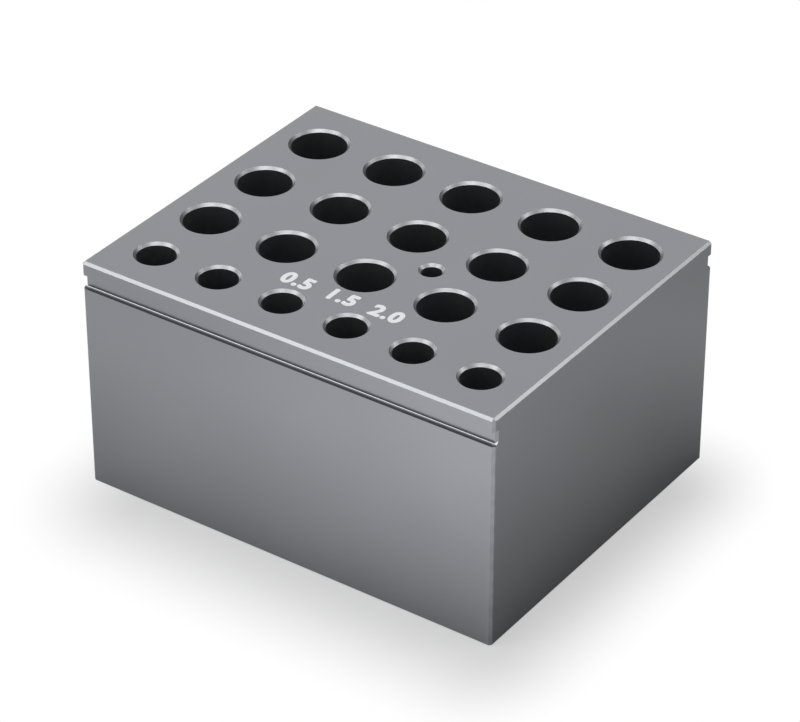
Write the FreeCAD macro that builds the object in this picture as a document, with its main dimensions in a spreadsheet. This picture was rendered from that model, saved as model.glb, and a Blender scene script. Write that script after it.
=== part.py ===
import FreeCAD, Part
import math
import os

import Sketcher

# Exchangeable heating block for microtubes: one block of milled, anodised aluminium.
# Lengths are in millimetres. X runs along the long sides, Y from the front face to the back face and Z up.
# The origin is the middle of the underside. The wells are set out from the datum corner, which is where the
# front face, the left face and the top meet.

NODE = "heating_block"

# Driving dimensions: alias and value in millimetres, degrees or a count
DIMENSIONS = {
    # the block's outside
    "block_length": 95.0,
    "block_width": 76.0,
    "block_height": 50.8,
    "edge_chamfer": 0.5,
    "base_chamfer": 0.2,
    # the grip groove under the top edge of each long side
    "lip_height": 2.9,
    "groove_height": 3.1,
    "groove_depth": 1.0,
    "groove_bevel": 0.25,
    # walls that the rows of wells leave in front, behind and between them
    "front_wall": 6.55,
    "back_wall": 7.35,
    "pair_web_cut": 0.5,
    # wells for 0.5 ml tubes, one row at the front
    "small_bore": 7.9,
    "small_depth": 26.0,
    "small_count": 6,
    "small_margin": 10.0,
    # wells for 1.5 ml tubes, two rows in the middle
    "tube_bore": 11.1,
    "tube_depth": 36.0,
    "column_count": 5,
    "column_margin": 10.5,
    # wells for round-ended 2.0 ml tubes, one row at the back
    "round_bore": 11.5,
    "round_depth": 38.0,
    # the well for a temperature probe, in one gap between the columns
    "probe_bore": 4.1,
    "probe_depth": 36.0,
    "probe_gap": 3,
    # how every well is finished
    "mouth_chamfer": 0.55,
    "point_angle": 118.0,
}
COUNTERSINK_ANGLE = 90.0
FULL_TURN = 360.0
CLOSE = 1e-4

doc = FreeCAD.newDocument("HeatingBlock")


def make_sheet():
    """The spreadsheet that every feature reads its sizes from."""
    sheet = doc.addObject("Spreadsheet::Sheet", "Dimensions")
    for row, (alias, value) in enumerate(DIMENSIONS.items(), start=1):
        sheet.set(f"A{row}", alias)
        sheet.set(f"B{row}", str(value))
        sheet.setAlias(f"B{row}", alias)
    doc.recompute()
    return sheet


def cell(alias):
    return f"Dimensions.{alias}"


# Places of rows and columns, measured from the datum corner
HALF_LENGTH = f"{cell('block_length')} / 2"
HALF_WIDTH = f"{cell('block_width')} / 2"
COLUMN_RUN = f"{cell('block_length')} - 2 * {cell('column_margin')}"
SMALL_RUN = f"{cell('block_length')} - 2 * {cell('small_margin')}"
COLUMN_PITCH = f"({COLUMN_RUN}) / ({cell('column_count')} - 1)"
BORES_ACROSS = f"{cell('small_bore')} + 2 * {cell('tube_bore')} + {cell('round_bore')}"
OUTER_WALLS = f"{cell('front_wall')} + {cell('back_wall')}"
ROW_WEB = f"({cell('block_width')} - ({OUTER_WALLS}) - ({BORES_ACROSS}) + {cell('pair_web_cut')}) / 3"
SMALL_ROW = f"{cell('front_wall')} + {cell('small_bore')} / 2"
FRONT_ROW = f"{cell('front_wall')} + {cell('small_bore')} + {ROW_WEB} + {cell('tube_bore')} / 2"
PAIR_PITCH = f"{cell('tube_bore')} + {ROW_WEB} - {cell('pair_web_cut')}"
MIDDLE_ROW = f"{FRONT_ROW} + {PAIR_PITCH}"
BACK_ROW = f"{cell('block_width')} - {cell('back_wall')} - {cell('round_bore')} / 2"
PROBE_COLUMN = f"{cell('column_margin')} + ({cell('probe_gap')} - 0.5) * {COLUMN_PITCH}"
PROBE_ROW = f"{FRONT_ROW} + ({PAIR_PITCH}) / 2"

ORIGIN_POINT = (-1, 1)
SKETCH_UPRIGHT = -2
START = 1
END = 2
CENTRE = 3


def origin_feature(body, role):
    return next(f for f in body.Origin.OriginFeatures if f.Role == role)


def new_sketch(body, role, name, offset=None):
    """A sketch on one of the body's origin planes, moved in that plane's own axes by three expressions."""
    sketch = body.newObject("Sketcher::SketchObject", name)
    sketch.AttachmentSupport = [(origin_feature(body, role), "")]
    sketch.MapMode = "FlatFace"
    for axis, expression in zip("xyz", offset or ()):
        sketch.setExpression(f"AttachmentOffset.Base.{axis}", expression)
    doc.recompute()
    return sketch


def bind(sketch, kind, *places, to, name):
    """Add a named dimension to a sketch and tie it to an expression."""
    start_value = 1.0
    index = sketch.addConstraint(Sketcher.Constraint(kind, *places, start_value))
    sketch.renameConstraint(index, name)
    sketch.setExpression(f"Constraints.{name}", to)


def closed_chain(sketch, points):
    """Straight edges through the points in turn, joined end to end and closed."""
    corners = [FreeCAD.Vector(x, y, 0) for x, y in points]
    count = len(corners)
    for here, there in zip(corners, corners[1:] + corners[:1]):
        sketch.addGeometry(Part.LineSegment(here, there))
    for edge in range(count):
        sketch.addConstraint(Sketcher.Constraint("Coincident", edge, END, (edge + 1) % count, START))


def checked_cut(feature, before):
    """Recompute, and refuse a cut that takes nothing away."""
    doc.recompute()
    if feature.Shape.isNull() or feature.Shape.Volume >= before - CLOSE:
        raise RuntimeError(f"{feature.Name} cuts nothing")
    print(f"{feature.Name}: {before - feature.Shape.Volume:.1f} mm3 cut away")
    return feature


def make_blank(body):
    """The sawn blank: a rectangle about the origin, raised to the block's height."""
    sketch = new_sketch(body, "XY_Plane", "BlankOutline")
    closed_chain(sketch, [(-1, -1), (1, -1), (1, 1), (-1, 1)])
    front, right, back, left = range(4)
    for edge in (front, back):
        sketch.addConstraint(Sketcher.Constraint("Horizontal", edge))
    for edge in (right, left):
        sketch.addConstraint(Sketcher.Constraint("Vertical", edge))
    sketch.addConstraint(Sketcher.Constraint("Symmetric", front, START, back, START, *ORIGIN_POINT))
    bind(sketch, "DistanceX", front, START, front, END, to=cell("block_length"), name="length")
    bind(sketch, "DistanceY", right, START, right, END, to=cell("block_width"), name="width")
    pad = body.newObject("PartDesign::Pad", "Blank")
    pad.Profile = sketch
    pad.setExpression("Length", cell("block_height"))
    doc.recompute()
    return pad


def make_grip_grooves(body, blank):
    """A flat-floored groove under the top of each long side, bevelled in its lower inner corner."""
    front_top_edge = (f"-{HALF_WIDTH}", cell("block_height"), "0")
    sketch = new_sketch(body, "YZ_Plane", "GrooveProfile", front_top_edge)
    closed_chain(sketch, [(0, -2), (1, -2), (1, -3), (0.8, -4), (0, -4)])
    roof, wall, bevel, ledge, mouth = range(5)
    for edge in (roof, ledge):
        sketch.addConstraint(Sketcher.Constraint("Horizontal", edge))
    for edge in (wall, mouth):
        sketch.addConstraint(Sketcher.Constraint("Vertical", edge))
    sketch.addConstraint(Sketcher.Constraint("PointOnObject", roof, START, SKETCH_UPRIGHT))
    bind(sketch, "DistanceY", roof, START, *ORIGIN_POINT, to=cell("lip_height"), name="lip")
    bind(sketch, "DistanceX", roof, START, roof, END, to=cell("groove_depth"), name="depth")
    bind(sketch, "DistanceY", mouth, START, mouth, END, to=cell("groove_height"), name="height")
    bind(sketch, "DistanceX", bevel, END, bevel, START, to=cell("groove_bevel"), name="bevel_in")
    bind(sketch, "DistanceY", bevel, END, bevel, START, to=cell("groove_bevel"), name="bevel_up")
    pocket = body.newObject("PartDesign::Pocket", "FrontGroove")
    pocket.Profile = sketch
    pocket.Midplane = True
    pocket.setExpression("Length", cell("block_length"))
    checked_cut(pocket, blank.Shape.Volume)
    mirrored = body.newObject("PartDesign::Mirrored", "BackGroove")
    mirrored.Originals = [pocket]
    mirrored.MirrorPlane = (origin_feature(body, "XZ_Plane"), [""])
    body.Tip = mirrored
    return checked_cut(mirrored, pocket.Shape.Volume)


def edge_names(shape, wanted):
    """The names of the shape's edges whose two ends both satisfy the test."""
    names = []
    for number, edge in enumerate(shape.Edges, start=1):
        first, last = edge.Vertexes[0].Point, edge.Vertexes[-1].Point
        if wanted(first, last):
            names.append(f"Edge{number}")
    return names


def make_chamfer(body, base, name, size, wanted):
    chamfer = body.newObject("PartDesign::Chamfer", name)
    chamfer.Base = (base, edge_names(base.Shape, wanted))
    chamfer.setExpression("Size", cell(size))
    return checked_cut(chamfer, base.Shape.Volume)


def break_edges(body, base, sheet):
    """Bright chamfers on the top and upright edges, and a light edge break round the underside."""
    half_length = sheet.block_length / 2
    half_width = sheet.block_width / 2
    top = sheet.block_height

    def on_outline(point):
        on_end = abs(abs(point.x) - half_length) < CLOSE
        return on_end and abs(abs(point.y) - half_width) < CLOSE

    def top_edge(first, last):
        level = abs(first.z - top) < CLOSE and abs(last.z - top) < CLOSE
        return level and on_outline(first) and on_outline(last)

    def upright_edge(first, last):
        on_end = abs(abs(first.x) - half_length) < CLOSE and abs(first.x - last.x) < CLOSE
        return on_end and abs(first.y - last.y) < CLOSE

    def base_edge(first, last):
        return abs(first.z) < CLOSE and abs(last.z) < CLOSE

    outer = make_chamfer(
        body,
        base,
        "EdgeChamfer",
        "edge_chamfer",
        lambda first, last: top_edge(first, last) or upright_edge(first, last),
    )
    return make_chamfer(body, outer, "BaseChamfer", "base_chamfer", base_edge)


def well_sketch(body, name, centres):
    """Circles on the top face, each placed by its distances from the datum corner."""
    datum_corner = (f"-{HALF_LENGTH}", f"-{HALF_WIDTH}", cell("block_height"))
    sketch = new_sketch(body, "XY_Plane", name, datum_corner)
    upward = FreeCAD.Vector(0, 0, 1)
    for index, (from_left, from_front, bore) in enumerate(centres):
        circle = Part.Circle(FreeCAD.Vector(10, 10 * (index + 1), 0), upward, 1)
        sketch.addGeometry(circle)
        bind(sketch, "DistanceX", *ORIGIN_POINT, index, CENTRE, to=from_left, name=f"from_left_{index}")
        bind(sketch, "DistanceY", *ORIGIN_POINT, index, CENTRE, to=from_front, name=f"from_front_{index}")
        bind(sketch, "Diameter", index, to=cell(bore), name=f"bore_{index}")
    doc.recompute()
    return sketch


def drilled_wells(body, base, name, bore, depth, centres):
    """Blind drilled wells with a drill point below and a chamfered mouth."""
    sketch = well_sketch(body, f"{name}Centres", [(x, y, bore) for x, y in centres])
    hole = body.newObject("PartDesign::Hole", name)
    hole.Profile = sketch
    doc.recompute()
    hole.DepthType = "Dimension"
    hole.DrillPoint = "Angled"
    hole.DrillForDepth = False
    hole.HoleCutType = "Countersink"
    hole.HoleCutCustomValues = True
    hole.HoleCutCountersinkAngle = COUNTERSINK_ANGLE
    hole.setExpression("Diameter", cell(bore))
    hole.setExpression("Depth", cell(depth))
    hole.setExpression("DrillPointAngle", cell("point_angle"))
    hole.setExpression("HoleCutDiameter", f"{cell(bore)} + 2 * {cell('mouth_chamfer')}")
    return checked_cut(hole, base.Shape.Volume)


def round_ended_well(body, base):
    """One turned well with a chamfered mouth and a hemispherical end, as the tube's own end is."""
    from_middle = f"{cell('column_margin')} - {HALF_LENGTH}"
    to_front = f"{HALF_WIDTH} - ({BACK_ROW})"
    axis_at_top = (from_middle, cell("block_height"), to_front)
    sketch = new_sketch(body, "XZ_Plane", "RoundWellProfile", axis_at_top)
    points = [(0, 0), (6, 0), (5, -1), (5, -20), (0, -25)]
    top, chamfer, wall, end, axis = range(5)
    corners = [FreeCAD.Vector(x, y, 0) for x, y in points]
    for here, there in zip(corners[:3], corners[1:4]):
        sketch.addGeometry(Part.LineSegment(here, there))
    round_end = Part.Circle(FreeCAD.Vector(0, -20, 0), FreeCAD.Vector(0, 0, 1), 5)
    sketch.addGeometry(Part.ArcOfCircle(round_end, -math.pi / 2, 0))
    sketch.addGeometry(Part.LineSegment(corners[4], corners[0]))
    sketch.addConstraint(Sketcher.Constraint("Coincident", top, START, *ORIGIN_POINT))
    sketch.addConstraint(Sketcher.Constraint("Coincident", top, END, chamfer, START))
    sketch.addConstraint(Sketcher.Constraint("Coincident", chamfer, END, wall, START))
    sketch.addConstraint(Sketcher.Constraint("Tangent", wall, END, end, END))
    sketch.addConstraint(Sketcher.Constraint("Coincident", end, START, axis, START))
    sketch.addConstraint(Sketcher.Constraint("Coincident", axis, END, top, START))
    sketch.addConstraint(Sketcher.Constraint("Horizontal", top))
    sketch.addConstraint(Sketcher.Constraint("Vertical", wall))
    sketch.addConstraint(Sketcher.Constraint("Vertical", axis))
    sketch.addConstraint(Sketcher.Constraint("PointOnObject", end, CENTRE, SKETCH_UPRIGHT))
    bind(sketch, "DistanceX", chamfer, END, chamfer, START, to=cell("mouth_chamfer"), name="mouth_out")
    bind(sketch, "DistanceY", chamfer, END, chamfer, START, to=cell("mouth_chamfer"), name="mouth_down")
    bind(sketch, "Radius", end, to=f"{cell('round_bore')} / 2", name="bore_radius")
    bind(sketch, "DistanceY", axis, START, axis, END, to=cell("round_depth"), name="depth")
    groove = body.newObject("PartDesign::Groove", "RoundWell")
    groove.Profile = sketch
    groove.ReferenceAxis = (sketch, ["V_Axis"])
    groove.Angle = FULL_TURN
    return checked_cut(groove, base.Shape.Volume)


def along_row(body, first, name, count, run):
    """Repeat the first well of each row along X, from one margin to the other."""
    pattern = body.newObject("PartDesign::LinearPattern", name)
    pattern.Originals = [first]
    pattern.Direction = (origin_feature(body, "X_Axis"), [""])
    pattern.setExpression("Length", run)
    pattern.setExpression("Occurrences", cell(count))
    body.Tip = pattern
    return checked_cut(pattern, first.Shape.Volume)


def make_wells(body, base):
    """The rows of wells from front to back, then the probe well among them."""
    small_first = [(cell("small_margin"), SMALL_ROW)]
    tube_first = [(cell("column_margin"), FRONT_ROW), (cell("column_margin"), MIDDLE_ROW)]
    small = drilled_wells(body, base, "SmallWell", "small_bore", "small_depth", small_first)
    small_row = along_row(body, small, "SmallRow", "small_count", SMALL_RUN)
    tube = drilled_wells(body, small_row, "TubeWells", "tube_bore", "tube_depth", tube_first)
    tube_rows = along_row(body, tube, "TubeRows", "column_count", COLUMN_RUN)
    large = round_ended_well(body, tube_rows)
    back_row = along_row(body, large, "RoundRow", "column_count", COLUMN_RUN)
    probe_place = [(PROBE_COLUMN, PROBE_ROW)]
    probe = drilled_wells(body, back_row, "ProbeWell", "probe_bore", "probe_depth", probe_place)
    body.Tip = probe
    return probe


def refuse_faults(body):
    """Stop before anything is written if an object failed or the block isn't one sound solid."""
    doc.recompute()
    failed = [o.Name for o in doc.Objects if {"Invalid", "Error"} & set(o.State)]
    if failed:
        raise RuntimeError(f"failed: {failed}")
    shape = body.Shape
    if shape.isNull() or not shape.isValid() or len(shape.Solids) != 1:
        raise RuntimeError(f"{body.Label} isn't one valid solid")


sheet = make_sheet()
block = doc.addObject("PartDesign::Body", "HeatingBlock")
block.Label = NODE
blank = make_blank(block)
grooved = make_grip_grooves(block, blank)
edged = break_edges(block, grooved, sheet)
make_wells(block, edged)
refuse_faults(block)

os.makedirs("parts", exist_ok=True)
block.Shape.exportStep(f"parts/{block.Label}.step")
size = block.Shape.BoundBox
print(f"{block.Label}: {size.XLength:.2f} x {size.YLength:.2f} x {size.ZLength:.2f} mm")
print(f"volume {block.Shape.Volume:.0f} mm3 in {len(block.Shape.Faces)} faces")
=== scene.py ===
# %% [markdown]
# # A heating block for microtubes
#
# The object is one solid block of aluminium that stands in a dry block heater and carries its warmth to plastic
# tubes. It is sawn, milled, drilled, chamfered along its edges, blasted fine and dyed grey by anodising. The shape
# is already exact in the imported CAD model, so this lesson is about what a camera sees: the finish of the metal with
# its painted highlights and painted shade, the white numbers printed on it, and the light of a small studio. The
# first step loads the CAD model and keeps its box.

# %% Load the block
import math

import bpy
from mathutils import Matrix, Vector


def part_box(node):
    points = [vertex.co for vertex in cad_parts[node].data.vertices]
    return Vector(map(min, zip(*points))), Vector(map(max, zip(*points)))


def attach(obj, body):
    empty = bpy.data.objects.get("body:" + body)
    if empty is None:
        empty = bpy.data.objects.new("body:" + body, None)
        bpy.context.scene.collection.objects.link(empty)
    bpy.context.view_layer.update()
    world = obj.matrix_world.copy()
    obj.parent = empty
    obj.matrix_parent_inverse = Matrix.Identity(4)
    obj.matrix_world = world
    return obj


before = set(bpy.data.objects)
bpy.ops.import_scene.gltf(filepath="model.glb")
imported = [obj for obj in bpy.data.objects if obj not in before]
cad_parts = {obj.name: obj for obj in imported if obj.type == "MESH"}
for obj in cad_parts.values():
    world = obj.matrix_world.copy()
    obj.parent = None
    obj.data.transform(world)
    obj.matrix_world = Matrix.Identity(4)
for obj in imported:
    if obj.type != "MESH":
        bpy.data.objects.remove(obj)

scene = bpy.context.scene
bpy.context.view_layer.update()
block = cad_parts["heating_block"]
low, high = (Vector(corner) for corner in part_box("heating_block"))
size = high - low
print("block", [round(1000 * side, 2) for side in size], "mm,", len(block.data.polygons), "triangles")

# %% [markdown]
# ## The camera
#
# A camera could be pushed about until the picture looks right. Here it was worked out instead: corners of the block
# and rims of its wells were measured in the photograph, and the camera's direction, distance and lens were solved so
# that the model's own points fall on them. A long lens from a little above gives the photograph's calm perspective.
# The picture is taken to be 800 pixels wide, and the lens is written in pixels, as a solver gives it.

# %% Place the camera
PICTURE_WIDTH = 800
SENSOR = 36.0
LENS_PIXELS = 3545.116
CAMERA_DISTANCE = 0.708909
CAMERA_TURN, CAMERA_TILT = math.radians(34.994), math.radians(32.993)
CAMERA_ASIDE, CAMERA_ABOVE = 0.000282, 0.021442
SEEN_FROM, SEEN_TO = 0.01, 30.0

towards_camera = Vector((
    math.sin(CAMERA_TURN) * math.cos(CAMERA_TILT),
    -math.cos(CAMERA_TURN) * math.cos(CAMERA_TILT),
    math.sin(CAMERA_TILT),
))
picture_right = Vector((math.cos(CAMERA_TURN), math.sin(CAMERA_TURN), 0.0))
picture_up = towards_camera.cross(picture_right)

camera = bpy.data.objects.new("camera", bpy.data.cameras.new("camera"))
scene.collection.objects.link(camera)
camera.data.sensor_width = SENSOR
camera.data.lens = LENS_PIXELS * SENSOR / PICTURE_WIDTH
camera.data.clip_start, camera.data.clip_end = SEEN_FROM, SEEN_TO
eye = towards_camera * CAMERA_DISTANCE + picture_right * CAMERA_ASIDE + picture_up * CAMERA_ABOVE
facing = Matrix((picture_right, picture_up, towards_camera)).transposed().to_4x4()
camera.matrix_world = Matrix.Translation(eye) @ facing
bpy.context.scene.camera = camera
print("camera", [round(c, 4) for c in eye], f"lens {camera.data.lens:.1f} mm")

# %% [markdown]
# ## Building node trees in words
#
# A material is a small tree of nodes. Adding nodes by hand takes three lines each, so two helpers come first. One adds
# a node and feeds its inputs, with a number or with another node's output. The other does the same for sums, because
# most of this material is arithmetic on places: how deep, how near an edge, how steep.

# %% Two helpers for trees
def add_node(tree, kind, inputs=None, **settings):
    node = tree.nodes.new(kind)
    for name, value in settings.items():
        setattr(node, name, value)
    for name, value in (inputs or {}).items():
        if isinstance(value, bpy.types.NodeSocket):
            tree.links.new(value, node.inputs[name])
        else:
            node.inputs[name].default_value = value
    return node


def sum_of(tree, operation, *terms):
    return add_node(tree, "ShaderNodeMath", dict(enumerate(terms)), operation=operation).outputs[0]


print("helpers ready:", add_node.__name__, sum_of.__name__)

# %% [markdown]
# ## The blasted surface
#
# Before it is dyed, the block is blasted with fine glass beads. That leaves dents of about a sixth of a millimetre,
# which scatter the light into a satin sheen, and here and there the dye takes a shade lighter or darker. An image
# could show this, but noise in three dimensions has no seams and runs round every edge. The printed numbers lie on
# the same dents, so the effect is a group with named inputs, placed in both materials with its own values. It puts
# out only values that change over the surface: the dents and the clouding.

# %% Group: blasted grain
DENTS_PER_METRE, CLOUDS_PER_METRE = 6000.0, 45.0
DENT_DETAIL, CLOUD_DETAIL = 2.0, 3.0


def make_blasted_grain():
    group = bpy.data.node_groups.new("blasted_grain", "ShaderNodeTree")
    face = group.interface
    face.new_socket("Place", in_out="INPUT", socket_type="NodeSocketVector")
    for name, start in (("Dents per metre", DENTS_PER_METRE), ("Clouds per metre", CLOUDS_PER_METRE)):
        face.new_socket(name, in_out="INPUT", socket_type="NodeSocketFloat").default_value = start
    for name in ("Dents", "Clouds"):
        face.new_socket(name, in_out="OUTPUT", socket_type="NodeSocketFloat")
    given = group.nodes.new("NodeGroupInput").outputs
    result = group.nodes.new("NodeGroupOutput").inputs
    for name, detail in (("Dents", DENT_DETAIL), ("Clouds", CLOUD_DETAIL)):
        noise = add_node(group, "ShaderNodeTexNoise",
                         {"Vector": given["Place"], "Scale": given[f"{name} per metre"], "Detail": detail})
        group.links.new(noise.outputs[0], result[name])
    return group


def add_grain(tree, place, clouds_per_metre):
    values = {"Place": place, "Dents per metre": DENTS_PER_METRE, "Clouds per metre": clouds_per_metre}
    return add_node(tree, "ShaderNodeGroup", values, node_tree=blasted_grain).outputs


blasted_grain = make_blasted_grain()
print("group", blasted_grain.name, [item.name for item in blasted_grain.interface.items_tree])

# %% [markdown]
# ## Where is what on the block
#
# One block carries several finishes, and some painted light. The outside is blasted and dyed, and its two sawn ends
# are painted a darker grey, as painted shade. The walls of the wells are reamed, so they carry fine rings. The
# chamfers are cut last with a sharp tool; they and the top of the bevel in the grip groove are painted brighter, as
# painted highlights, and the ledge below the bevel is painted dark, as painted shade. Painting masks by hand would
# work for one picture, but the block tells us itself where each finish lies: near the top only a chamfer leans at 45
# degrees, an end faces sideways, and a well is anything inside the outer walls and below the top. So the masks are
# made from Object coordinates and the surface's own direction.

# %% Start the block's material and measure places
dyed_aluminium = bpy.data.materials.new("dyed_aluminium")
dyed_aluminium.use_nodes = True
tree = dyed_aluminium.node_tree
metal = tree.nodes["Principled BSDF"]
place = add_node(tree, "ShaderNodeTexCoord").outputs["Object"]
x, y, z = add_node(tree, "ShaderNodeSeparateXYZ", {"Vector": place}).outputs
direction = add_node(tree, "ShaderNodeNewGeometry").outputs["True Normal"]
lean_x, _, lean_z = add_node(tree, "ShaderNodeSeparateXYZ", {"Vector": direction}).outputs
from_side = sum_of(tree, "SUBTRACT", size.x / 2, sum_of(tree, "ABSOLUTE", x))
from_front = sum_of(tree, "SUBTRACT", size.y / 2, sum_of(tree, "ABSOLUTE", y))
from_top = sum_of(tree, "SUBTRACT", size.z, z)
print("places measured in", dyed_aluminium.name, "with", len(tree.nodes), "nodes")

# %% Masks of the finishes and of the painted light
WALL = 0.002
MOUTH = 0.0006
LEANING = math.sqrt(0.5)
LEAN_SLACK = 0.14
# below this depth the groove's bevel and ledge are painted dark as painted shade, above it brighter as a painted
# highlight
LEDGE_DEPTH = 0.00583
END_BEGINS, END_FULL = 0.55, 0.95

inside = sum_of(tree, "GREATER_THAN", sum_of(tree, "MINIMUM", from_side, from_front), WALL)
in_well = sum_of(tree, "MULTIPLY", inside, sum_of(tree, "GREATER_THAN", from_top, MOUTH))
in_well = sum_of(tree, "MULTIPLY", in_well, sum_of(tree, "GREATER_THAN", z, WALL))
outside = sum_of(tree, "SUBTRACT", 1.0, in_well)
leaning_up = sum_of(tree, "MULTIPLY", sum_of(tree, "COMPARE", lean_z, LEANING, LEAN_SLACK), outside)
on_chamfer = sum_of(tree, "MULTIPLY", leaning_up, sum_of(tree, "LESS_THAN", from_top, MOUTH))
# the two ends, where a darker grey is painted on as painted shade
endwards = add_node(tree, "ShaderNodeMapRange", {
    "Value": sum_of(tree, "ABSOLUTE", lean_x), "From Min": END_BEGINS, "From Max": END_FULL}).outputs[0]
on_painted_end_shade = sum_of(tree, "MULTIPLY", endwards, outside)
# the grip groove: its ledge is painted dark, as painted shade
in_groove = sum_of(tree, "MULTIPLY", outside, sum_of(tree, "GREATER_THAN", from_top, WALL))
facing_up = sum_of(tree, "MULTIPLY", sum_of(tree, "GREATER_THAN", lean_z, LEANING - LEAN_SLACK), in_groove)
on_painted_ledge_shade = sum_of(tree, "MULTIPLY", facing_up, sum_of(tree, "GREATER_THAN", from_top, LEDGE_DEPTH))
# the top of the groove's bevel, where a painted highlight goes
on_painted_bevel_highlight = sum_of(tree, "SUBTRACT", facing_up, on_painted_ledge_shade)
print("masks: wells start", 1000 * MOUTH, "mm down and", 1000 * WALL, "mm in from the sides")

# %% [markdown]
# ## Edge wear
#
# A block is lifted out and set down many times, so the dye rubs thin beside its outer edges, unevenly. A point is
# beside an edge when it is near two faces at once, which makes the middle one of its three distances small. That
# needs no extra geometry. A little noise breaks the band up, and the effect stays faint, because the photographed
# block is nearly new.

# %% Mask: wear beside the outer edges
WEAR_FULL, WEAR_REACH = 0.0003, 0.0014
RUBS_PER_METRE, RUB_DETAIL = 420.0, 4.0
RUB_BEGINS, RUB_FULL = 0.42, 0.62

nearest = sum_of(tree, "MINIMUM", sum_of(tree, "MINIMUM", from_side, from_front), from_top)
farthest = sum_of(tree, "MAXIMUM", sum_of(tree, "MAXIMUM", from_side, from_front), from_top)
together = sum_of(tree, "ADD", sum_of(tree, "ADD", from_side, from_front), from_top)
from_edge = sum_of(tree, "SUBTRACT", sum_of(tree, "SUBTRACT", together, nearest), farthest)
band = add_node(tree, "ShaderNodeMapRange", {
    "Value": from_edge, "From Min": WEAR_FULL, "From Max": WEAR_REACH, "To Min": 1.0, "To Max": 0.0,
}, interpolation_type="SMOOTHSTEP").outputs[0]
rubbing = add_node(tree, "ShaderNodeTexNoise", {
    "Vector": place, "Scale": RUBS_PER_METRE, "Detail": RUB_DETAIL}).outputs[0]
rubbed = add_node(tree, "ShaderNodeMapRange", {
    "Value": rubbing, "From Min": RUB_BEGINS, "From Max": RUB_FULL}).outputs[0]
wear = sum_of(tree, "MULTIPLY", sum_of(tree, "MULTIPLY", band, rubbed), outside)
print("wear reaches", 1000 * WEAR_REACH, "mm from an edge")

# %% [markdown]
# ## Colour, sheen and dents
#
# The dye gives a slightly cool grey. Metal has no other colour of its own: what looks like light and dark on the
# block is mostly what it mirrors, blurred by its roughness. So the colour shifts a little with the clouding, is
# paler in the wells, where the dye takes thinly, and lighter where it is rubbed. Light and shade are also painted
# in: the ends are painted deeper and the ledge darkest, as painted shade, and the chamfers and the top of the
# groove's bevel brightest, as painted highlights. Roughness shifts with it. The reamed rings are a wave that runs
# down the wells only.

# %% Colour of the block
GREY = (0.353, 0.365, 0.390, 1.0)
# the grey of real wear, and also of a painted highlight on the chamfers and the groove's bevel
WEAR_AND_HIGHLIGHT_GREY = (0.565, 0.58, 0.60, 1.0)
WELL_GREY = (0.395, 0.405, 0.42, 1.0)
# painted shade: the ledge in the grip groove is painted nearly black
LEDGE_PAINTED_SHADE_GREY = (0.085, 0.088, 0.095, 1.0)
# painted shade: the two ends take a darker grey
END_PAINTED_SHADE_GREY = (0.172, 0.178, 0.191, 1.0)
CLOUD_SHADE, DENT_SHADE = 0.05, 0.06
# the second share is how far the groove's bevel is painted towards that grey, as a painted highlight
WEAR_SHARE, BEVEL_HIGHLIGHT_SHARE = 0.13, 0.5

grain = add_grain(tree, place, CLOUDS_PER_METRE)
dents, clouds = grain["Dents"], grain["Clouds"]


def around_one(value, swing):
    return sum_of(tree, "MULTIPLY_ADD", value, 2 * swing, 1.0 - swing)


def blend_colours(amount, first, second):
    return add_node(tree, "ShaderNodeMix", {0: amount, 6: first, 7: second}, data_type="RGBA").outputs[2]


shade = sum_of(tree, "MULTIPLY", around_one(clouds, CLOUD_SHADE), around_one(dents, DENT_SHADE))
worn = sum_of(tree, "MULTIPLY", wear, WEAR_SHARE)
# painted highlight: the chamfers and the top of the groove's bevel are painted brighter
painted_highlight = sum_of(tree, "MAXIMUM", on_chamfer, sum_of(tree, "MULTIPLY", on_painted_bevel_highlight, BEVEL_HIGHLIGHT_SHARE))
colour = blend_colours(in_well, GREY, WELL_GREY)
# the ends painted darker, as painted shade
colour = blend_colours(on_painted_end_shade, colour, END_PAINTED_SHADE_GREY)
# the ledge painted darkest, as painted shade
colour = blend_colours(on_painted_ledge_shade, colour, LEDGE_PAINTED_SHADE_GREY)
# real wear and the painted highlight both lighten towards the same grey
colour = blend_colours(sum_of(tree, "MAXIMUM", worn, painted_highlight), colour, WEAR_AND_HIGHLIGHT_GREY)
shaded = add_node(tree, "ShaderNodeVectorMath", {0: colour, "Scale": shade}, operation="SCALE")
tree.links.new(shaded.outputs[0], metal.inputs["Base Color"])
metal.inputs["Metallic"].default_value = 1.0
print("greys: outside", GREY[1], "ends", END_PAINTED_SHADE_GREY[1], "wells", WELL_GREY[1], "cut", WEAR_AND_HIGHLIGHT_GREY[1])

# %% Sheen of the block
SATIN, CUT_SMOOTH, REAMED = 0.24, 0.41, 0.36
SHEEN_SWING = 0.08

sheen = sum_of(tree, "MULTIPLY_ADD", in_well, REAMED - SATIN, SATIN)
sheen = sum_of(tree, "MULTIPLY_ADD", on_chamfer, CUT_SMOOTH - SATIN, sheen)
for grain_value in (clouds, dents):
    sheen = sum_of(tree, "MULTIPLY", sheen, around_one(grain_value, SHEEN_SWING))
tree.links.new(sheen, metal.inputs["Roughness"])
print("roughness: outside", SATIN, "cut", CUT_SMOOTH, "reamed", REAMED)

# %% Dents and rings of the block
RINGS_PER_METRE, RING_HEIGHT = 5200.0, 0.12
CHAMFER_FLATTENED = 0.7
DENT_STRENGTH, DENT_DEPTH = 0.10, 0.00004

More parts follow.
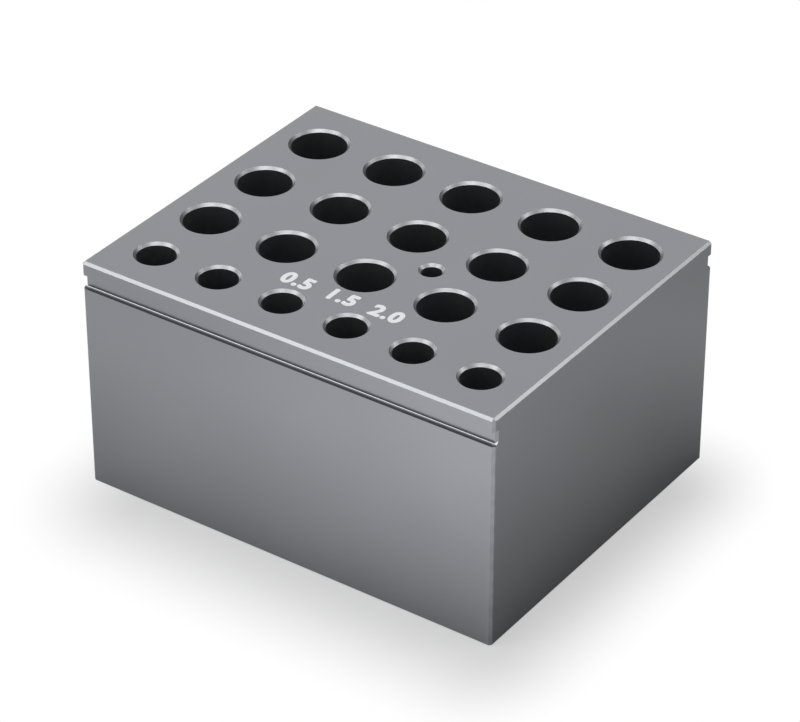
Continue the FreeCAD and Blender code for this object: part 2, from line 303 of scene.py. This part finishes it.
rings = sum_of(tree, "SINE", sum_of(tree, "MULTIPLY", z, 2 * math.pi * RINGS_PER_METRE))
blasted = sum_of(tree, "SUBTRACT", outside, sum_of(tree, "MULTIPLY", on_chamfer, CHAMFER_FLATTENED))
blasted_height = sum_of(tree, "MULTIPLY", dents, blasted)
reamed_height = sum_of(tree, "MULTIPLY", sum_of(tree, "MULTIPLY", rings, RING_HEIGHT), in_well)
height = sum_of(tree, "ADD", blasted_height, reamed_height)
bumps = add_node(tree, "ShaderNodeBump", {"Strength": DENT_STRENGTH, "Distance": DENT_DEPTH, "Height": height})
tree.links.new(bumps.outputs["Normal"], metal.inputs["Normal"])

block.data.materials.clear()
block.data.materials.append(dyed_aluminium)
print("material", dyed_aluminium.name, "of", len(tree.nodes), "nodes on", block.name)

# %% [markdown]
# ## The white ink
#
# The numbers are screen-printed: a film of white ink about a fiftieth of a millimetre thick. Ink isn't metal, so it
# has a colour of its own, under the clear gloss of its binder, which is the shader's coat. It lies on the blasted
# dents, which show through it, and it is a little thinner in places, so it takes the same grain group with finer
# clouds.

# %% Material of the ink
INK_CLOUDS_PER_METRE = 900.0
THIN_BEGINS, THIN_ENDS = 0.3, 0.7
THIN_WHITE, FULL_WHITE = (0.94, 0.94, 0.945, 1.0), (0.98, 0.98, 0.98, 1.0)
INK_ROUGHNESS, INK_DENT_ROUGHNESS = 0.26, 0.12
INK_SHINE, BINDER_COVER, BINDER_ROUGHNESS = 0.9, 1.0, 0.25
INK_DENT_STRENGTH, INK_DENT_DEPTH = 0.08, 0.00003


def make_white_ink():
    ink = bpy.data.materials.new("white_ink")
    ink.use_nodes = True
    layers = ink.node_tree
    film = layers.nodes["Principled BSDF"]
    on_block = add_node(layers, "ShaderNodeTexCoord").outputs["Object"]
    grain = add_grain(layers, on_block, INK_CLOUDS_PER_METRE)
    thickness = add_node(layers, "ShaderNodeMapRange", {
        "Value": grain["Clouds"], "From Min": THIN_BEGINS, "From Max": THIN_ENDS})
    cover = add_node(layers, "ShaderNodeValToRGB", {"Fac": thickness.outputs[0]})
    for stop, white in zip(cover.color_ramp.elements, (THIN_WHITE, FULL_WHITE)):
        stop.color = white
    layers.links.new(cover.outputs[0], film.inputs["Base Color"])
    gloss = sum_of(layers, "MULTIPLY_ADD", grain["Dents"], INK_DENT_ROUGHNESS, INK_ROUGHNESS)
    layers.links.new(gloss, film.inputs["Roughness"])
    film.inputs["Specular IOR Level"].default_value = INK_SHINE
    film.inputs["Coat Weight"].default_value = BINDER_COVER
    film.inputs["Coat Roughness"].default_value = BINDER_ROUGHNESS
    bumps = add_node(layers, "ShaderNodeBump", {
        "Strength": INK_DENT_STRENGTH, "Distance": INK_DENT_DEPTH, "Height": grain["Dents"]})
    layers.links.new(bumps.outputs["Normal"], film.inputs["Normal"])
    return ink


white_ink = make_white_ink()
print("material", white_ink.name, "of", len(white_ink.node_tree.nodes), "nodes")

# %% [markdown]
# ## The printed numbers
#
# Between the front row of small wells and the next row, the block carries plain white numbers: the volumes in
# millilitres of the tubes that its wells take. A text object would do, but the numbers stand in a row at an even
# pitch, so one tree of Geometry Nodes sets them all: it draws each number as outlines, pushes the outlines outwards
# to make the heavy strokes of a printed plate, fills them, gives the film its thickness and moves each to its place.
# In an inner corner the pushed outline folds over itself, so points that end up too near the thin outline are
# dropped. Letter height, stroke, pitch and thickness are named inputs. The result becomes a plain mesh that rides
# with the block.

# %% One number's outline
UP = (0.0, 0.0, 1.0)
OUTLINE_STEP = 0.00008
PUSHED_ENOUGH = 0.97


def heavy_outline(tree, thin, stroke):
    tangent = add_node(tree, "GeometryNodeInputTangent").outputs[0]
    outward = add_node(tree, "ShaderNodeVectorMath", {0: tangent, 1: UP}, operation="CROSS_PRODUCT").outputs[0]
    push = add_node(tree, "ShaderNodeVectorMath", {0: outward, "Scale": stroke}, operation="SCALE").outputs[0]
    heavy = add_node(tree, "GeometryNodeSetPosition", {"Geometry": thin, "Offset": push}).outputs[0]
    thin_line = add_node(tree, "GeometryNodeCurveToMesh", {"Curve": thin}).outputs[0]
    gap = add_node(tree, "GeometryNodeProximity", {0: thin_line}, target_element="EDGES").outputs["Distance"]
    folded = sum_of(tree, "LESS_THAN", gap, sum_of(tree, "MULTIPLY", stroke, PUSHED_ENOUGH))
    return add_node(tree, "GeometryNodeDeleteGeometry", {"Geometry": heavy, "Selection": folded}).outputs[0]


def printed_number(tree, text, given, slot):
    drawn = add_node(tree, "GeometryNodeStringToCurves", {
        "String": text, "Size": given["Letter height"], "Character Spacing": given["Spacing"],
    }, align_x="CENTER", align_y="MIDDLE").outputs[0]
    loose = add_node(tree, "GeometryNodeRealizeInstances", {"Geometry": drawn}).outputs[0]
    thin = add_node(tree, "GeometryNodeResampleCurve", {"Curve": loose, "Length": OUTLINE_STEP}, mode="LENGTH")
    heavy = heavy_outline(tree, thin.outputs[0], given["Stroke"])
    filled = add_node(tree, "GeometryNodeFillCurve", {"Curve": heavy}).outputs[0]
    shift = add_node(tree, "ShaderNodeCombineXYZ", {"X": sum_of(tree, "MULTIPLY", given["Pitch"], slot)})
    return add_node(tree, "GeometryNodeTransform", {"Geometry": filled, "Translation": shift.outputs[0]}).outputs[0]


print("outlines take a point every", 1000 * OUTLINE_STEP, "mm")

# %% The tree of all numbers and its inputs
VOLUMES = ("0.5", "1.5", "2.0")
WELD = 0.000001


def make_number_tree():
    tree = bpy.data.node_groups.new("printed_numbers", "GeometryNodeTree")
    face = tree.interface
    face.new_socket("Geometry", in_out="INPUT", socket_type="NodeSocketGeometry")
    for name in ("Letter height", "Stroke", "Spacing", "Pitch", "Film"):
        face.new_socket(name, in_out="INPUT", socket_type="NodeSocketFloat")
    face.new_socket("Ink", in_out="INPUT", socket_type="NodeSocketMaterial")
    face.new_socket("Geometry", in_out="OUTPUT", socket_type="NodeSocketGeometry")
    given = tree.nodes.new("NodeGroupInput").outputs
    row = tree.nodes.new("GeometryNodeJoinGeometry")
    middle = (len(VOLUMES) - 1) / 2
    for slot, text in enumerate(VOLUMES):
        tree.links.new(printed_number(tree, text, given, slot - middle), row.inputs[0])
    raised = add_node(tree, "GeometryNodeExtrudeMesh", {
        "Mesh": row.outputs[0], "Offset": UP, "Offset Scale": given["Film"], "Individual": False})
    under = add_node(tree, "GeometryNodeFlipFaces", {"Mesh": row.outputs[0]})
    closed = add_node(tree, "GeometryNodeJoinGeometry")
    for part in (raised, under):
        tree.links.new(part.outputs[0], closed.inputs[0])
    welded = add_node(tree, "GeometryNodeMergeByDistance", {"Geometry": closed.outputs[0], "Distance": WELD})
    single = add_node(tree, "GeometryNodeRealizeInstances", {"Geometry": welded.outputs[0]})
    inked = add_node(tree, "GeometryNodeSetMaterial", {"Geometry": single.outputs[0], "Material": given["Ink"]})
    tree.links.new(inked.outputs[0], tree.nodes.new("NodeGroupOutput").inputs[0])
    return tree


number_tree = make_number_tree()
print("tree", number_tree.name, "of", len(number_tree.nodes), "nodes for", ", ".join(VOLUMES))

# %% Print the numbers on the top face
PRINT_SIZES = {"Letter height": 0.0051, "Stroke": 0.00026, "Spacing": 1.12, "Pitch": 0.0103, "Film": 0.00002}
PRINT_PLACE = Vector((0.0010, -0.0201, size.z))

carrier = bpy.data.objects.new("number_carrier", bpy.data.meshes.new("number_carrier"))
scene.collection.objects.link(carrier)
maker = carrier.modifiers.new("printed_numbers", "NODES")
maker.node_group = number_tree
sockets = (item for item in number_tree.interface.items_tree if item.in_out == "INPUT")
identifiers = {item.name: item.identifier for item in sockets}
for name, value in PRINT_SIZES.items():
    maker[identifiers[name]] = value
maker[identifiers["Ink"]] = white_ink
view = bpy.context.evaluated_depsgraph_get()
mesh = bpy.data.meshes.new_from_object(carrier.evaluated_get(view), depsgraph=view)
carrier.modifiers.remove(maker)
bpy.data.objects.remove(carrier)
print("numbers made of", len(mesh.polygons), "faces")

# %% Make the numbers a piece of their own
mesh.name = "size_numbers"
mesh.materials.clear()
mesh.materials.append(white_ink)
mesh.polygons.foreach_set("material_index", [0] * len(mesh.polygons))
mesh.transform(Matrix.Translation(PRINT_PLACE))
size_numbers = bpy.data.objects.new("size_numbers", mesh)
scene.collection.objects.link(size_numbers)
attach(size_numbers, "root")
for axis in "xy":
    reach = [1000 * getattr(vertex.co, axis) for vertex in mesh.vertices]
    print("numbers along", axis, f"{min(reach):.2f} to {max(reach):.2f} mm")

# %% [markdown]
# ## The floor
#
# The photograph stands on plain white with a soft shadow. A matt floor of pale paper takes the block's shadow, and
# the block's sides mirror it, which is where their slow change from dark at the foot to light at the top comes from.
# A floor can be any flat mesh that is far larger than the picture; one square is enough.

# %% Floor
FLOOR_HALF = 4.0
SQUARE = ((-1, -1), (1, -1), (1, 1), (-1, 1))

floor_mesh = bpy.data.meshes.new("floor")
floor_mesh.from_pydata([(FLOOR_HALF * i, FLOOR_HALF * j, 0.0) for i, j in SQUARE], [], [(0, 1, 2, 3)])
floor = bpy.data.objects.new("floor", floor_mesh)
scene.collection.objects.link(floor)
print("floor", 2 * FLOOR_HALF, "m across")

# %% [markdown]
# ## The white backdrop
#
# Further out the floor runs into a lit white backdrop. More lamps would also make it white, but they would bleach the
# block, so the backdrop is a glow of strength 1 that only the eye and mirrors see: Light Path tells camera, glossy
# and transmission rays from the rays that carry light about. The glow sets in at the block's foot and is full a few
# centimetres out, so the shadow stays. One reach for all rays would be simplest, but the photograph shows two: its
# floor is white close to the block, as when a picture is brightened round its subject, while the block's sides still
# mirror a wider shade. So the eye gets a short soft reach, and mirrors get a longer straight one, which is brightest
# in front on the right, as over a pool of light.

# %% The floor's paper
PAPER = (0.53, 0.53, 0.53, 1.0)
PAPER_ROUGHNESS, PAPER_SHINE = 0.95, 0.1

paper = bpy.data.materials.new("white_paper")
paper.use_nodes = True
sheet = paper.node_tree
matt = sheet.nodes["Principled BSDF"]
matt.inputs["Base Color"].default_value = PAPER
matt.inputs["Roughness"].default_value = PAPER_ROUGHNESS
matt.inputs["Specular IOR Level"].default_value = PAPER_SHINE
floor_mesh.materials.append(paper)
print("paper gives back", PAPER[0], "of its light")

# %% How white the backdrop is at a spot
spot = add_node(sheet, "ShaderNodeTexCoord").outputs["Object"]
across, along, _ = add_node(sheet, "ShaderNodeSeparateXYZ", {"Vector": spot}).outputs


def past(value, line):
    return sum_of(sheet, "MAXIMUM", sum_of(sheet, "SUBTRACT", value, line), 0.0)


def white_share(left, back, haste, width, at_foot, easing):
    on_right = sum_of(sheet, "MULTIPLY", past(across, high.x), haste)
    beside = sum_of(sheet, "MAXIMUM", past(low.x - left, across), on_right)
    before = sum_of(sheet, "MAXIMUM", past(low.y, along), past(along, high.y + back))
    squares = [sum_of(sheet, "POWER", distance, 2.0) for distance in (beside, before)]
    apart = sum_of(sheet, "SQRT", sum_of(sheet, "ADD", *squares))
    return add_node(sheet, "ShaderNodeMapRange", {"Value": apart, "From Max": width, "To Min": at_foot},
                    interpolation_type=easing).outputs[0]


print("backdrop measured from", [round(1000 * c, 1) for c in (low.x, high.x, low.y, high.y)], "mm")

# %% The backdrop's glow
# left, back: how far the shade stands out past the block (m); haste: how much sooner white on the right;
# width: from shade to white (m); at_foot: how white at the block's foot
EYE_SHADE = dict(left=-0.015, back=-0.016, haste=1.25, width=0.0295, at_foot=0.46, easing="SMOOTHSTEP")
MIRROR_SHADE = dict(left=0.008, back=0.0, haste=1.0, width=0.050, at_foot=0.0, easing="LINEAR")
POOL = Vector((0.09, -0.06, 0.0))
POOL_FULL, POOL_END, POOL_LOSS = 0.085, 0.175, 0.54
WHITE, GLOW = (1.0, 1.0, 1.0, 1.0), 1.0

off_pool = add_node(sheet, "ShaderNodeVectorMath", {0: spot, 1: POOL}, operation="DISTANCE").outputs["Value"]
pool = add_node(sheet, "ShaderNodeMapRange", {
    "Value": off_pool, "From Min": POOL_FULL, "From Max": POOL_END, "To Min": 1.0, "To Max": 1.0 - POOL_LOSS})
rays = add_node(sheet, "ShaderNodeLightPath").outputs
by_eye = sum_of(sheet, "MULTIPLY", rays["Is Camera Ray"], white_share(**EYE_SHADE))
mirrored = sum_of(sheet, "MAXIMUM", rays["Is Glossy Ray"], rays["Is Transmission Ray"])
pooled = sum_of(sheet, "MULTIPLY", pool.outputs[0], white_share(**MIRROR_SHADE))
by_mirror = sum_of(sheet, "MULTIPLY", mirrored, pooled)
backdrop = add_node(sheet, "ShaderNodeEmission", {"Color": WHITE, "Strength": GLOW})
mixed = add_node(sheet, "ShaderNodeMixShader", {
    0: sum_of(sheet, "MAXIMUM", by_eye, by_mirror), 1: matt.outputs[0], 2: backdrop.outputs[0]})
sheet.links.new(mixed.outputs[0], sheet.nodes["Material Output"].inputs["Surface"])
print("floor material of", len(sheet.nodes), "nodes, white from", 1000 * EYE_SHADE["width"], "mm")

# %% [markdown]
# ## The room
#
# Metal also mirrors the room. A dark room would leave the top black when it is seen from above or from behind, and an
# evenly bright one would flatten the rims of the wells. So the room is dim behind and at the sides, and brightens
# softly to the front and overhead, like a white wall and ceiling behind the photographer. How bright it is follows
# from the angle between the direction looked in and the bright side, which is their Dot Product.

# %% Room
ROOM_DIM, ROOM_BRIGHT = 0.04, 0.45
BRIGHT_SIDE = Vector((0.15, -0.55, 0.82)).normalized()

room = bpy.data.worlds.new("room")
scene.world = room
room.use_nodes = True
around = room.node_tree
looking = add_node(around, "ShaderNodeTexCoord").outputs["Generated"]
nearness = add_node(around, "ShaderNodeVectorMath", {0: looking, 1: BRIGHT_SIDE}, operation="DOT_PRODUCT")
strength = add_node(around, "ShaderNodeMapRange", {
    "Value": nearness.outputs["Value"], "To Min": ROOM_DIM, "To Max": ROOM_BRIGHT,
}, interpolation_type="SMOOTHSTEP").outputs[0]
around.nodes["Background"].inputs["Color"].default_value = WHITE
around.links.new(strength, around.nodes["Background"].inputs["Strength"])
scene.view_settings.view_transform = "Standard"
print("room light", ROOM_DIM, "to", ROOM_BRIGHT)

# %% [markdown]
# ## The lamps
#
# Metal shows its lamps, so each lamp here has a surface to light. A large soft one behind on the left is mirrored in
# the top face. One in front on the left catches the front edge, one high in front the far rims of the wells, and one
# behind on the right the right edge. Two low ones, on the left and in front, light the floor that the front mirrors,
# and the left one also the right rims of the wells. The last one, overhead, whitens the print. Each is a round soft
# lamp, turned towards the block. Its strength is written as brightness, as the camera would see it, and turned into
# watts by its area, so that a lamp can change size and stay as bright.

# %% Lamps
LAMP_DISTANCE = 0.8
AIM = Vector((0.0, 0.0, 0.03))
LAMPS = {
    # name: turn from +X, height above the floor (degrees), width (m), brightness
    "back_soft": (125.0, 33.0, 0.60, 0.74),
    "left_low": (180.0, 12.0, 0.50, 1.1),
    "front_left": (228.6, 43.4, 0.42, 1.78),
    "front_low": (250.0, 18.0, 0.42, 1.0),
    "front_high": (305.0, 57.0, 0.50, 0.56),
    "right_rim": (40.0, 28.0, 0.35, 2.4),
    "overhead": (305.0, 84.0, 0.50, 2.8),
}


def add_lamp(name, turn, height, width, brightness):
    lamp = bpy.data.lights.new(name, "AREA")
    lamp.shape, lamp.size = "DISK", width
    lamp.energy = math.pi * math.pi * (width / 2) ** 2 * brightness
    turned, raised = math.radians(turn), math.radians(height)
    level = Vector((math.cos(turned), math.sin(turned), 0.0)) * math.cos(raised)
    away = level + Vector((0.0, 0.0, math.sin(raised)))
    stand = bpy.data.objects.new(name, lamp)
    scene.collection.objects.link(stand)
    stand.location = AIM + away * LAMP_DISTANCE
    stand.rotation_euler = away.to_track_quat("Z", "Y").to_euler()
    stand.visible_camera = False
    return lamp.energy


for name, settings in LAMPS.items():
    print("lamp", name, f"{add_lamp(name, *settings):.2f} W")
